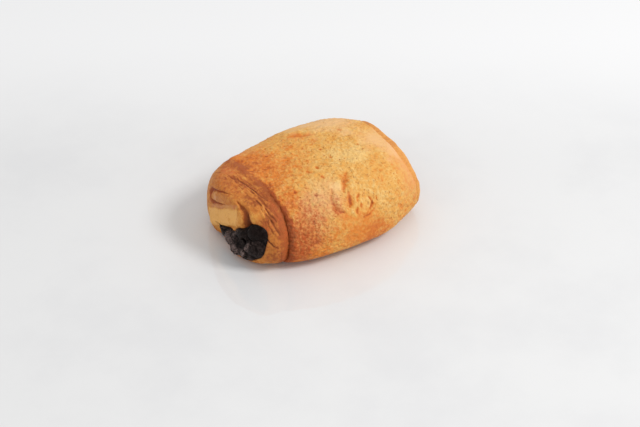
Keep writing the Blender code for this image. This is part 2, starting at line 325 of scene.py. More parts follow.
# Adds up strokes of (spots, half width, height, browning) with ragged edges and thin ends; the browning also carries
# painted shade in grooves and painted highlight on ridges. Width and height can be given at several places along the
# stroke
def strokeFields(points, strokes, spot, ragged=0.5, broken=0.0):
    height, browningAndShade = np.zeros(len(points)), np.zeros(len(points))
    warp = ragged * mm * np.stack([layeredNoise(points, 2.6 * mm, 2, seed) for seed in (51, 53, 55)], axis=1)
    gaps = 1 - broken * smoothStep(softNoise(points, 3.5 * mm, 57), -0.1, 0.5)
    for spots, width, rise, tone in strokes:
        distance, share = strokeDistance(points + warp, [spot(*place) for place in smoothPath(spots)])
        widths, rises = np.atleast_1d(width) * mm, np.atleast_1d(rise) * mm
        width = np.interp(share, np.linspace(0, 1, len(widths)), widths)
        rise = np.interp(share, np.linspace(0, 1, len(rises)), rises)
        ends = np.sqrt(np.clip(1.1 - (2 * share - 1) ** 2, 0, 1)) if len(spots) > 1 else 1
        stroke = hump(distance / ends, 0, width) * gaps
        height += rise * stroke
        browningAndShade += tone * stroke * np.abs(rise) / np.abs(rises).max()
    return height, browningAndShade


# Broad swellings and hollows of the whole loaf: millimetres from the near tip, y and z, then radius and push
swellings = (
    (22, 28, 34, 7, 1.9),
    (9, 24, 28, 6, -0.6),
    (46, 34, 34, 15, -1.0),
    (103, -31, 17, 10, 1.0),
    (76, -44, 9, 12, 0.7),
    (92, 16, 39, 12, 0.8),
    (101, -24, 33, 12, -0.8),
    (8, -31, 4, 8, -1.0),
    (26, -38, 6, 12, 0.7),
)


def swellingPush(places):
    push = np.zeros(len(places))
    for along, y, z, radius, rise in swellings:
        middle = np.array([tipX + along * mm, y * mm, z * mm])
        push += rise * mm * hump(np.linalg.norm(places - middle, axis=1), 0, radius * mm)
    return push


# Node groups and materials
def socket(group, name, kind, way, value=None):
    made = group.interface.new_socket(name=name, in_out=way, socket_type=kind)
    if value is not None:
        made.default_value = value


class NodeDesk:  # places nodes in a tree and links them by name
    def __init__(self, tree):
        self.tree = tree

    def feed(self, node, name, value):
        if isinstance(value, bpy.types.NodeSocket):
            self.tree.links.new(value, node.inputs[name])
        else:
            node.inputs[name].default_value = value

    def add(self, kind, settings=None, **inputs):
        node = self.tree.nodes.new(kind)
        for key, value in (settings or {}).items():
            setattr(node, key, value)
        for key, value in inputs.items():
            self.feed(node, key.replace("_", " "), value)
        return node

    def math(self, operation, first, second=0.5, clamp=False):
        node = self.add("ShaderNodeMath", {"operation": operation, "use_clamp": clamp})
        self.feed(node, 0, first)
        self.feed(node, 1, second)
        return node.outputs[0]

    def ease(self, value, low, high):
        node = self.add("ShaderNodeMapRange", {"interpolation_type": "SMOOTHSTEP"}, Value=value)
        self.feed(node, "From Min", low)
        self.feed(node, "From Max", high)
        return node.outputs[0]

    def mix(self, factor, first, second):
        node = self.add("ShaderNodeMix", {"data_type": "RGBA"})
        self.feed(node, 0, factor)
        self.feed(node, 6, first)
        self.feed(node, 7, second)
        return node.outputs[2]

    def noise(self, vector, size, detail=3.0, roughness=0.55):
        node = self.add("ShaderNodeTexNoise", Vector=vector, Scale=1 / size, Detail=detail, Roughness=roughness)
        return node.outputs["Fac"]

    def bend(self, vector, size, amount):
        colour = self.add("ShaderNodeTexNoise", Vector=vector, Scale=1 / size, Detail=2.0).outputs["Color"]
        node = self.add("ShaderNodeVectorMath", {"operation": "MULTIPLY_ADD"})
        for name, value in enumerate((colour, (amount, amount, amount), vector)):
            self.feed(node, name, value)
        return node.outputs[0]

    def cells(self, vector, size):
        return self.add("ShaderNodeTexVoronoi", Vector=vector, Scale=1 / size).outputs["Distance"]

    def mask(self, name):
        return self.add("ShaderNodeAttribute", {"attribute_name": name}).outputs["Fac"]


# The crack-and-shade mask darkens towards Dark both real cracks and seams and painted shade in folds, gaps and under
# rims
bakedInputs = ("Brown", "Red", "Pale", "CrackShade", "Grain")


# Baked dough: its colour from the masks, fine mottling, flecks, pits darkened as painted shade and ridges lightened as
# painted highlight, and a height for bump
def bakedGroup():
    group = bpy.data.node_groups.new("bakedDough", "ShaderNodeTree")
    socket(group, "Vector", "NodeSocketVector", "INPUT")
    for name in bakedInputs:
        socket(group, name, "NodeSocketFloat", "INPUT", 0.0)
    for name in ("Light", "Gold", "Amber", "Deep", "Rust", "Peach", "Dark"):
        socket(group, name, "NodeSocketColor", "INPUT")
    socket(group, "Colour", "NodeSocketColor", "OUTPUT")
    socket(group, "Mottle", "NodeSocketFloat", "OUTPUT")
    socket(group, "Height", "NodeSocketFloat", "OUTPUT")
    desk = NodeDesk(group)
    inside = desk.add("NodeGroupInput").outputs
    place = inside["Vector"]
    bent = desk.bend(place, 2.4 * mm, 1.6 * mm)
    broad = desk.noise(place, 6 * mm, 4.0, 0.6)
    fine = desk.noise(bent, 1.6 * mm, 3.0, 0.6)
    grit = desk.noise(place, 0.45 * mm, 2.0, 0.6)
    patchy = desk.ease(desk.noise(place, 5 * mm, 2.0), 0.42, 0.60)
    mottle = desk.math("ADD", desk.math("MULTIPLY", broad, 0.5), desk.math("MULTIPLY", fine, 0.5))
    swing = desk.math("MULTIPLY", desk.math("SUBTRACT", mottle, 0.5), desk.math("ADD", inside["Grain"], 0.35))
    tone = desk.math("ADD", inside["Brown"], desk.math("MULTIPLY", swing, 1.35), True)
    colour = desk.mix(desk.ease(tone, 0.0, 0.33), inside["Light"], inside["Gold"])
    colour = desk.mix(desk.ease(tone, 0.30, 0.66), colour, inside["Amber"])
    colour = desk.mix(desk.ease(tone, 0.64, 1.0), colour, inside["Deep"])
    colour = desk.mix(desk.math("MULTIPLY", inside["Pale"], desk.ease(fine, 0.15, 0.5)), colour, inside["Peach"])
    red = desk.math("MULTIPLY", inside["Red"], desk.ease(fine, 0.30, 0.62), True)
    colour = desk.mix(red, colour, inside["Rust"])
    # Pits are darkened as painted shade in the bump's recesses; the freckles are the crust's own dark spots
    pits = desk.math("MULTIPLY", desk.ease(desk.cells(bent, 1.9 * mm), 0.26, 0.12), patchy, True)
    pits = desk.math("MULTIPLY", pits, inside["Grain"], True)
    freckles = desk.math("MULTIPLY", desk.ease(desk.noise(bent, 1.2 * mm, 1.0), 0.60, 0.72), inside["Grain"], True)
    colour = desk.mix(desk.math("ADD", desk.math("MULTIPLY", pits, 0.7), desk.math("MULTIPLY", freckles, 0.42), True), colour, inside["Rust"])
    curl = desk.math("ABSOLUTE", desk.math("SUBTRACT", desk.noise(bent, 1.7 * mm, 1.0), 0.5))
    ridges = desk.math("MULTIPLY", desk.ease(curl, 0.13, 0.0), desk.ease(desk.noise(place, 2.6 * mm, 1.0), 0.46, 0.60), True)
    ridges = desk.math("MULTIPLY", ridges, inside["Grain"], True)
    # Painted highlight: the raised ridges are lightened towards Light, less where the dough is brown
    ridgeHighlight = desk.math("MULTIPLY", desk.math("MULTIPLY", ridges, 0.52), desk.ease(inside["Brown"], 1.1, 0.2), True)
    colour = desk.mix(ridgeHighlight, colour, inside["Light"])
    # Cracks and painted shade, towards Dark
    colour = desk.mix(inside["CrackShade"], colour, inside["Dark"])
    height = desk.math("ADD", desk.math("MULTIPLY", fine, 0.8), desk.math("MULTIPLY", grit, 0.25))
    height = desk.math("SUBTRACT", height, desk.math("MULTIPLY", desk.math("ADD", pits, freckles), 0.25))
    height = desk.math("ADD", height, desk.math("MULTIPLY", ridges, 0.12))
    height = desk.math("MULTIPLY", height, desk.math("ADD", inside["Grain"], 0.3))
    outside = desk.add("NodeGroupOutput")
    desk.feed(outside, "Colour", colour)
    desk.feed(outside, "Mottle", mottle)
    desk.feed(outside, "Height", height)
    return group


def newMaterial(name):
    material = bpy.data.materials.new(name)
    material.use_nodes = True
    return material, NodeDesk(material.node_tree), material.node_tree.nodes["Principled BSDF"]


# Light also paints the ridge highlights, and Dark paints the cracks and the painted shade
crustLooks = {  # linear colours, from the palest gold to the deepest browning
    "Light": (0.86, 0.545, 0.192),
    "Gold": (0.80, 0.405, 0.094),
    "Amber": (0.74, 0.228, 0.034),
    "Deep": (0.40, 0.082, 0.013),
    "Rust": (0.52, 0.105, 0.020),
    "Peach": (0.86, 0.53, 0.27),
    "Dark": (0.12, 0.024, 0.008),
    "gloss": 0.54,
    "bump": 0.9 * mm,
}
layerLooks = {  # the bare layers at the ends, drier than the crust
    "Light": (0.90, 0.47, 0.135),
    "Gold": (0.76, 0.345, 0.068),
    "Amber": (0.60, 0.198, 0.035),
    "Deep": (0.36, 0.090, 0.020),
    "Rust": (0.62, 0.13, 0.032),
    "Peach": (0.72, 0.35, 0.17),
    "Dark": (0.080, 0.018, 0.007),
    "gloss": 0.58,
    "bump": 0.50 * mm,
}


def bakedMaterial(name, looks, baked):
    material, desk, shader = newMaterial(name)
    dough = desk.add("ShaderNodeGroup", {"node_tree": baked})
    desk.feed(dough, "Vector", desk.add("ShaderNodeTexCoord").outputs["Object"])
    for mask in bakedInputs:
        desk.feed(dough, mask, desk.mask(mask.lower()))
    for tint in ("Light", "Gold", "Amber", "Deep", "Rust", "Peach", "Dark"):
        desk.feed(dough, tint, (*looks[tint], 1))
    desk.feed(shader, "Base Color", dough.outputs["Colour"])
    rough = desk.math("ADD", desk.math("MULTIPLY", dough.outputs["Mottle"], 0.24), looks["gloss"] - 0.12)
    desk.feed(shader, "Roughness", rough)
    bump = desk.add("ShaderNodeBump", Height=dough.outputs["Height"], Strength=0.9, Distance=looks["bump"])
    desk.feed(shader, "Normal", bump.outputs[0])
    desk.feed(shader, "Specular IOR Level", 0.2)
    return material


# The chocolate's colours: bloom, which also paints glints as painted highlight on the crumbly lumps, and the painted
# shade of its gaps and hole
chocolateLooks = {
    "dark": (0.0052, 0.0019, 0.0012),
    "bloomGlint": (0.270, 0.190, 0.172),
    "crackshade": (0.002, 0.0010, 0.0008),
    "gloss": 0.38,
    "bump": 0.22 * mm,
}


def chocolateMaterial():
    material, desk, shader = newMaterial("darkChocolate")
    place = desk.add("ShaderNodeTexCoord").outputs["Object"]
    fine = desk.noise(place, 0.9 * mm, 4.0, 0.7)
    # Bloom and painted glints where the chocolate is crumbly
    bloomGlint = desk.math("MULTIPLY", desk.ease(desk.noise(place, 2.6 * mm, 3.0), 0.36, 0.58), desk.mask("bloomGlint"), True)
    bloomGlint = desk.math("MULTIPLY", bloomGlint, desk.ease(fine, 0.34, 0.64), True)
    colour = desk.mix(bloomGlint, (*chocolateLooks["dark"], 1), (*chocolateLooks["bloomGlint"], 1))
    # Painted shade in the gaps between the lumps and in the hole
    colour = desk.mix(desk.mask("crackshade"), colour, (*chocolateLooks["crackshade"], 1))
    desk.feed(shader, "Base Color", colour)
    desk.feed(shader, "Roughness", desk.math("ADD", desk.math("MULTIPLY", fine, 0.3), chocolateLooks["gloss"] - 0.12))
    bump = desk.add("ShaderNodeBump", Height=fine, Strength=0.7, Distance=chocolateLooks["bump"])
    desk.feed(shader, "Normal", bump.outputs[0])
    desk.feed(shader, "Specular IOR Level", 0.07)
    return material


baked = bakedGroup()
crust = bakedMaterial("bakedCrust", crustLooks, baked)
layers = bakedMaterial("bareLayers", layerLooks, baked)
chocolate = chocolateMaterial()
print("materials made")

# The outer wrap: a thick skin open at both ends, rounded at its rims
wrap = {
    "wall": 2.6 * mm,
    "around": 410,
    "alongSteps": 212,
    "rimSteps": 8,
    "waves": 0.40 * mm,
    "lumps": 0.50 * mm,
    "blisters": 0.52 * mm,
    "wrinkles": 0.46 * mm,
    "pits": 0.60 * mm,
}
# Spots are (millimetres from the near tip, degrees round the loaf), then half width, height and browning; the browning
# of sunken creases is partly painted shade, and the negative browning of raised ones is painted highlight
creases = (
    (((62.5, 116.5), (60.4, 119.3), (57.5, 123.5), (54.6, 128.1), (53.5, 131)), (1.3, 2.2, 1.9, 1.2), (-0.5, -1.0, -0.7), 0.46),
    (((55.5, 121), (53, 125), (51.6, 129)), (1.6, 2.2, 1.4), (0.3, 0.5, 0.3), -0.15),
    (((64.5, 134), (67, 137.5), (68.6, 142.2)), (0.8, 1.2, 0.8), (0.3, 0.6, 0.3), -0.30),
    (((52.6, 144.5), (52.8, 149), (54.1, 154.5)), (0.8, 1.1, 0.8), (0.3, 0.6, 0.3), -0.28),
    (((56.4, 132), (54.4, 137), (53.6, 141), (52.2, 144.5)), (0.8, 1.2, 0.9), (-0.4, -0.8, -0.5), 0.60),
    (((58.5, 135), (57, 140), (55.3, 145)), 0.7, 0.4, -0.15),
    (((65, 141.5), (66, 146), (65.3, 149), (63.5, 151.5)), (0.5, 0.8, 0.6), -0.75, 0.56),
    (((64, 141), (63.6, 147), (61.5, 151)), 0.8, 0.35, -0.10),
    (((56.8, 146), (55.5, 149.5), (55.3, 152)), 0.6, -0.50, 0.48),
    (((59.2, 144), (58.2, 148)), 0.6, -0.60, 0.55),
    (((60.5, 144.5),), 4.6, 0.60, -0.10),
    (((61.5, 136), (59, 138.6), (57.6, 142)), (0.5, 0.8, 0.5), -0.45, 0.35),
    (((66.5, 153), (63, 157), (58, 158)), (0.6, 1.0, 0.6), -0.45, 0.35),
    (((62, 153), (60.2, 156)), 0.5, -0.40, 0.30),
    (((70, 144), (69.2, 147.5)), 0.5, -0.40, 0.30),
    (((48.9, 125), (47.2, 129)), 0.5, -0.55, 0.40),
    (((49.5, 128), (48.2, 134), (47.4, 139), (49, 144), (51, 150)), (0.9, 1.5, 1.1), (0.3, 0.7, 0.3), -0.28),
    (((48.2, 125.5), (46.2, 129.5), (45.3, 132.2), (44.3, 140.1), (45.6, 144.5), (48.9, 147.3)), (0.6, 0.8, 0.9, 0.6), (-0.8, -0.8, -1.0, -0.5), 0.40),
    (((58.5, 150), (61, 156)), 1.0, 0.30, -0.15),
    (((54, 54), (57.5, 55), (61, 57), (66, 62.5), (70, 68), (73, 73)), (1.4, 1.9, 1.2), (0.3, 0.6, 0.2), -0.22),
    (((55, 60), (58.5, 62.5), (62, 66), (66, 70)), (1.4, 2.0, 1.0), (-0.3, -0.6, -0.2), 0.32),
    (((61.6, 88.2),), 0.6, -0.55, 0.70),
    (((44, 103.5), (45.2, 105.5)), 0.9, -0.45, 0.40),
    (((61.2, 98), (63, 100)), 0.7, -0.40, 0.30),
    (((80.5, 73), (80.9, 76)), 0.8, -0.40, 0.35),
    (((81.2, 97.5),), 0.7, -0.50, 0.50),
    (((51, 103.4),), 0.7, -0.50, 0.45),
    (((30, 118),), 1.1, -0.60, 0.65),
    (((61.5, 87.9),), 0.5, -0.40, 0.75),
    (((38, 126.2), (39.4, 126.6)), 0.7, -0.55, 0.60),
    (((48.7, 112.9), (48.9, 115)), 0.6, -0.45, 0.50),
    (((50.7, 104.4),), 0.7, -0.45, 0.50),
    (((61.6, 99.2), (62.4, 100.8)), 0.7, -0.35, 0.40),
    (((46, 105.9),), 0.7, -0.45, 0.50),
    (((24.7, 92.3),), 0.8, -0.40, 0.50),
    (((34.9, 71),), 0.8, -0.40, 0.40),
    (((30.2, 146.8), (31.5, 146)), 0.6, -0.50, 0.60),
    (((38, 124.5), (38.9, 127.5)), 0.8, -0.55, 0.55),
    (((30.7, 147), (30.7, 150)), 0.8, -0.50, 0.50),
    (((20, 141), (20.2, 145)), 0.7, -0.50, 0.50),
    (((30.3, 169),), 1.0, -0.35, 0.45),
    (((68.8, 182),), 0.9, 0.45, -0.50),
)
# Patches are (millimetres from the near tip, degrees, radius) and what they add to brown, red and pale, and take from grain
patches = (
    (44, 127, 12, -0.05, 0.0, 0.36, 0.0),
    (51.5, 126, 4.4, -0.06, 0.0, 0.28, 0.5),
    (49, 136, 9, 0.14, 0.06, 0.0, 0.0),
    (40, 46, 13, 0.0, 0.0, 0.0, 0.65),
    (62, 40, 13, 0.0, 0.0, 0.0, 0.65),
    (25, 46, 10, 0.0, 0.0, 0.0, 0.60),
    (20, 106, 6, 0.25, 0.25, 0.0, 0.0),
    (36, 137, 11, 0.04, 0.30, 0.24, 0.0),
    (90, 130, 18, 0.09, 0.0, 0.0, 0.1),
    (24, 156, 14, 0.10, 0.66, 0.18, 0.0),
    (20, 172, 12, 0.20, 0.50, 0.0, 0.0),
    (22, 122, 9, 0.12, 0.35, 0.0, 0.0),
    (56, 165, 15, 0.20, 0.0, 0.0, 0.4),
    (45.5, 142, 4, 0.08, 0.55, 0.0, 0.0),
    (66, 190, 9, 0.10, 0.50, 0.0, 0.3),
    (71, 100, 13, -0.20, 0.0, 0.0, 0.0),
    (60, 64, 8, 0.16, 0.0, 0.0, 0.4),
    (84, 54, 17, -0.03, 0.0, 0.72, 0.55),
    (64, 50, 9, -0.08, 0.0, 0.35, 0.5),
    (97, 100, 15, 0.06, 0.0, 0.62, 0.55),
    (101, 128, 12, 0.10, 0.0, 0.30, 0.5),
    (98, 150, 12, 0.06, 0.10, 0.15, 0.4),
    (24, 70, 15, 0.20, 0.30, 0.0, 0.2),
    (45, 80, 16, 0.09, 0.0, 0.0, 0.1),
    (38, 100, 12, 0.03, 0.05, 0.0, 0.0),
    (74, 152, 10, -0.08, 0.0, 0.0, -0.2),
    (66, 212, 25, 0.06, 0.10, 0.0, 0.2),
)


def wrapSpot(along, degrees):
    return wrapPlace(np.array(along * mm), np.array(math.radians(degrees)))


def wrapProfile():
    near, far, half = loaf["nearRim"], loaf["farRim"], wrap["wall"] / 2
    run = far - near - 2 * half
    profile = [(near + half + run * step / wrap["alongSteps"], 1.0) for step in range(wrap["alongSteps"] + 1)]
    turns = [math.pi * step / wrap["rimSteps"] for step in range(1, wrap["rimSteps"])]
    profile += [(far - half + half * math.sin(turn), 1 - half * (1 - math.cos(turn))) for turn in turns]
    profile += [(far - half - run * step / 5, 1 - 2 * half) for step in range(6)]
    profile += [(near + half - half * math.sin(turn), 1 - half * (1 + math.cos(turn))) for turn in turns]
    return profile + profile[:1]


# What the patches add at each place, in the order they are listed
def patchFields(places):
    fields = np.zeros((4, len(places)))
    rag = 1 + 0.50 * layeredNoise(places, 6 * mm, 4, 43)
    for along, degrees, radius, *shares in patches:
        distance = np.linalg.norm(places - wrapSpot(along, degrees), axis=1)
        fields += np.array(shares)[:, None] * (1 - smoothStep(distance * rag, 0.35 * radius * mm, 1.25 * radius * mm))
    return fields


def buildWrap():
    bm = rolledSkin(wrapProfile(), wrap["around"])
    along, radius, angle = skinPlaces(bm)
    inset = 1 - radius
    places = wrapPlace(along, angle, inset)
    places[:, 0] += rimWave(angle) * (1 - smoothStep(along, loaf["nearRim"], loaf["nearRim"] + 26 * mm))
    places[:, 0] += rimWave(angle, 2.1) * smoothStep(along, loaf["farRim"] - 26 * mm, loaf["farRim"])
    brown, red, pale, smooth = patchFields(places)
    grain = np.clip(1 - smooth, 0.15, 1.2)
    height, creased = strokeFields(places, creases, wrapSpot)
    top = smoothStep(places[:, 2], 5 * mm, 15 * mm)
    first, second, number, lean = dotNoise(places, 3.0 * mm, 21)
    pits = (number > 0.1) * hump(first, 0, 0.55 * mm)
    little = dotNoise(places + 0.3 * mm * softNoise(places, 3 * mm, 8)[:, None], 1.9 * mm, 27)[0]
    swelling = swellingPush(places)
    push = wrap["waves"] * layeredNoise(places, 17 * mm, 2, 3) + height
    push += wrap["lumps"] * layeredNoise(places, 4.5 * mm, 4, 11) * (0.35 + 0.65 * grain) * (0.4 + 0.6 * top)
    push += wrap["blisters"] * (0.6 - little / mm) * grain * top
    curl = np.stack([softNoise(places, 3 * mm, seed) for seed in (15, 16, 17)], axis=1)
    wrinkles = hump(softNoise(places + 1.2 * mm * curl, 3.4 * mm, 19), 0, 0.22) * smoothStep(softNoise(places, 6 * mm, 18), -0.2, 0.4)
    push += wrap["wrinkles"] * wrinkles * grain * top
    push -= wrap["pits"] * pits * top * grain
    moved = settleSkin(bm, places, np.where(inset < wrap["wall"] * 0.6, push + swelling, -swelling), 0.5 * inset)
    share = (moved[:, 0] - tipX) / loaf["farRim"]
    side = -moved[:, 1] / loaf["halfWidth"]
    low = 1 - smoothStep(moved[:, 2], 2 * mm, 30 * mm)
    under = 1 - smoothStep(moved[:, 2], 0.0, 3.5 * mm)
    lip = smoothStep(inset, 0.4 * mm, 1.6 * mm) * (along < 50 * mm)
    ragged = along + 1.3 * mm * layeredNoise(places, 2.4 * mm, 3, 45)
    rim = 1 - smoothStep(ragged, loaf["nearRim"], loaf["nearRim"] + 4 * mm)
    brown += 0.30 + 0.24 * (1 - smoothStep(share, 0.16, 0.55)) + 0.13 * low + 0.25 * under
    # Crease browning is partly painted shade in sunken creases and painted highlight on raised ones; pits are browner
    # as painted shade and wrinkles paler as painted highlight
    brown += 0.10 * layeredNoise(places, 20 * mm, 2, 41) + creased + (0.10 * pits - 0.10 * wrinkles) * top
    # Painted shade: the low side of the near rim is browner, redder and darker where the rim's step shades it, over
    # some real browning
    lowRimShade = (1 - smoothStep(ragged, loaf["nearRim"] + 1.0 * mm, loaf["nearRim"] + 3.2 * mm)) * box(np.degrees(angle), 92, 205, 14)
    brown += 0.20 * rim + 0.30 * lip + 0.08 * smoothStep(-side, 0.3, 0.9) + 0.35 * lowRimShade
    red += 0.35 * rim + 0.4 * lip + 0.5 * np.clip(creased, 0, 1) + 0.5 * lowRimShade
    # The inner face of the lip is darkened as painted shade; deep creases also darken, partly as painted shade
    crackshade = 0.42 * lowRimShade + 0.28 * np.clip(creased - 0.25, 0, 1) + 0.5 * lip * smoothStep(inset, 1.6 * mm, 2.6 * mm)
    masks = {"brown": brown, "red": red, "pale": pale, "crackshade": crackshade, "grain": grain * 0.9}
    return finishPiece(bm, "outerWrap", crust, masks)


outerWrap = buildWrap()

# The near nose: layers torn along the rim, a tucked tongue with its seam, and a pocket for the chocolate
nearSkin = {"around": 440, "inside": 6, "round": 125, "flat": 62, "pocket": 5.0 * mm, "filled": 0.9 * mm}
# Spots are (millimetres inwards from the rim, degrees round the loaf), then half width, height and darkening; the
# darkening of sunken tears is partly painted shade, and the negative darkening of raised flakes is painted highlight
tears = (
    (((6.4, 74), (6.4, 84), (5.6, 92), (5.9, 97), (5.2, 101), (5.2, 109), (4.1, 114), (3.2, 118)), 0.42, -0.8, 0.8),
    (((8.1, 80), (7.4, 92), (7.3, 102), (6.6, 110)), 0.9, 0.35, -0.15),
    (((7.4, 96), (7.0, 104), (6.2, 112), (5.2, 119)), 0.30, -0.45, 0.5),
    (((8.5, 114), (8.3, 118), (8.1, 122)), 0.50, -0.75, 0.8),
    (((9.6, 113), (9.3, 121)), 0.8, 0.35, -0.1),
    (((7.2, 123), (7.1, 130), (6.1, 134), (5.2, 140)), 0.42, -0.85, 0.9),
    (((8.4, 122), (8.3, 129.5), (7.4, 135), (6.6, 140)), 0.65, 0.45, -0.15),
    (((8.3, 131), (7.5, 140), (6.7, 146), (5.6, 154)), 0.42, -0.80, 0.8),
    (((9.6, 133), (9.0, 141), (8.2, 148), (7.2, 154)), 0.70, 0.50, -0.15),
    (((9.8, 137), (9.3, 145), (8.4, 152)), 0.30, -0.40, 0.4),
    (((6.2, 118), (5.5, 126), (4.6, 133)), 0.30, -0.45, 0.45),
    (((5.0, 122), (4.2, 130), (3.5, 138)), 0.35, -0.35, 0.3),
    (((6.4, 143), (5.6, 149), (4.8, 155)), 0.30, -0.40, 0.4),
    (((4.9, 144), (4.1, 151), (3.5, 157)), 0.40, -0.30, 0.25),
    (((4.4, 80), (3.6, 90), (3.0, 99)), 0.40, -0.30, 0.30),
    (((8.8, 66), (8.6, 76), (8.2, 86)), 0.35, -0.30, 0.30),
    (((10.8, 127), (11.0, 135), (10.8, 143)), 0.50, -0.35, 0.25),
    (((12.3, 156), (10.8, 161.7), (9.0, 166), (6.8, 168.6)), (0.3, 0.45, 0.35), -1.00, 1.0),
    (((10.4, 165.5), (8.2, 170), (6.6, 172)), 1.2, 0.55, -0.1),
    (((5.0, 176), (4.6, 190), (4.8, 205)), 0.50, -0.45, 0.4),
    (((6.2, 50), (7.4, 36), (8.2, 20)), 0.50, -0.50, 0.5),
    (((9.5, 58), (10.5, 44), (11, 30)), 0.50, -0.35, 0.3),
    (((3.5, 30), (4.0, 12), (4.4, -8)), 0.50, -0.50, 0.5),
)
# The seam round the tucked tongue: spots are y and z on the nose
tongueSeam = (
    (((-2.1, 37.0), (3.5, 36.0), (8, 34.2), (11.8, 32.6), (16.8, 29.6), (19.4, 26.2), (19.0, 23.8), (16.2, 23.0), (11.8, 24.7),
      (7.5, 26.5), (4.1, 28.1), (0.5, 29.6)), (0.25, 0.4, 0.5, 0.8, 1.1, 1.0, 0.8, 0.7, 0.4),
     (-0.3, -0.8, -1.1, -1.1, -1.2, -1.3, -1.5, -1.4, -0.6), 0.9),
    (((12.4, 32.8), (17.6, 29.8), (20.2, 26.4), (19.8, 23.2), (16.4, 22.2), (12.0, 24.0)), (0.6, 1.2, 1.4, 0.9), -0.3, 0.8),
)
# The fold that runs down into the chocolate's top; its darkening is painted shade in the hollow
foldStrokes = (
    (((-8.2, 36.2), (-12.0, 35.0), (-15.5, 33.0), (-17.6, 30.0), (-19.0, 26.0), (-20.0, 21.0)), (1.0, 1.6, 2.4, 3.2, 3.5),
     (-0.8, -1.9, -2.9, -3.4, -3.4), 1.0),
)


def nearSpot(inwards, degrees):
    share = inwards * mm / loaf["nearRim"]
    return nosePlace(np.array(math.asin(share ** 1.2) * 2 / math.pi), np.array(math.radians(degrees)), nearNose)


def facePlace(y, z):
    y, z = np.array([y * mm]), np.array([z * mm])
    return np.array([onNearNose(y, z)[0], y[0], z[0]])


# Every form on the near nose at a set of places, each from 0 to 1
def nearForms(places):
    y, z = places[:, 1], places[:, 2]
    rag = 0.5 * mm * layeredNoise(places, 2.6 * mm, 3, 61)
    front = smoothStep(-places[:, 0], -(tipX + 13 * mm), -(tipX + 7 * mm))
    aslant = z + 0.57 * y + rag + 0.7 * mm * softNoise(places, 7 * mm, 62)
    deep = insideChannel(y, z)
    inwards = tipX + loaf["nearRim"] - places[:, 0]
    degrees = np.degrees(np.mod(np.arctan2(z - 13 * mm, y), 2 * np.pi))
    along = np.stack([inwards + 0.9 * rag, degrees * 0.10 * mm, 0 * y], axis=1)
    layered = box(inwards, 1.5 * mm, 11.5 * mm, 1.5 * mm) * box(degrees, 62, 150, 10)
    edges = hump(softNoise(along, 1.15 * mm, 66), 0, 0.20) * smoothStep(softNoise(along * (1, 4, 1), 2.0 * mm, 67), -0.2, 0.4)
    return {
        "tongue": hump(np.hypot((aslant - 33 * mm) / 3.6, (y - 8.5 * mm) / 8), 0, mm, 3) * front,
        "tongueTip": (1 - smoothStep(np.hypot(y - 13.6 * mm, z - 26.9 * mm), 1.2 * mm, 3.6 * mm)) * front,
        "ledge": box(aslant, 27.6 * mm, 30.0 * mm, 0.6 * mm) * box(y, -9 * mm, 19 * mm, 1.5 * mm) * front,
        "band": box(aslant, 16.6 * mm, 27.4 * mm, 0.9 * mm) * smoothStep(y, -10.5 * mm, -9.5 * mm)
        * (1 - smoothStep(y + 3 * rag, 17 * mm, 27 * mm)) * front,
        "bandEnd": box(aslant, 16.0 * mm, 26.6 * mm, 1.0 * mm) * box(y, -15.4 * mm, -10 * mm, 0.7 * mm) * front,
        "bandLip": hump(aslant, 18.6 * mm, 2.2 * mm) * box(y, -15 * mm, 20 * mm, 2 * mm) * front,
        "under": (1 - smoothStep(aslant, 13.5 * mm, 17.0 * mm)) * box(y, -4 * mm, 13 * mm, 4 * mm) * front,
        "sliver": hump(np.hypot((y - 12.0 * mm) / 3.4, (z - 8.5 * mm) / 3.4), 0, mm, 3) * front,
        "lobe": hump(np.hypot((y + 0.8 * (z - 33 * mm) + 22.0 * mm) / 3.0, (z - 32.5 * mm) / 6.5), 0, mm, 3) * front,
        "stripe": box(y, -30.5 * mm, -26.5 * mm, 1.2 * mm) * box(z, 20 * mm, 31 * mm, 2.5 * mm) * front,
        "pocket": smoothStep(deep, -0.3 * mm, 1.5 * mm) * front,
        "pocketShade": smoothStep(deep, -1.2 * mm, 0.6 * mm) * front,
        "lowLip": hump(deep, -2.2 * mm, 1.6 * mm) * (1 - smoothStep(z, 9 * mm, 14 * mm)) * front,
        "sheets": layeredNoise(along, 1.0 * mm, 3, 65) * layered,
        "edges": edges * layered,
    }


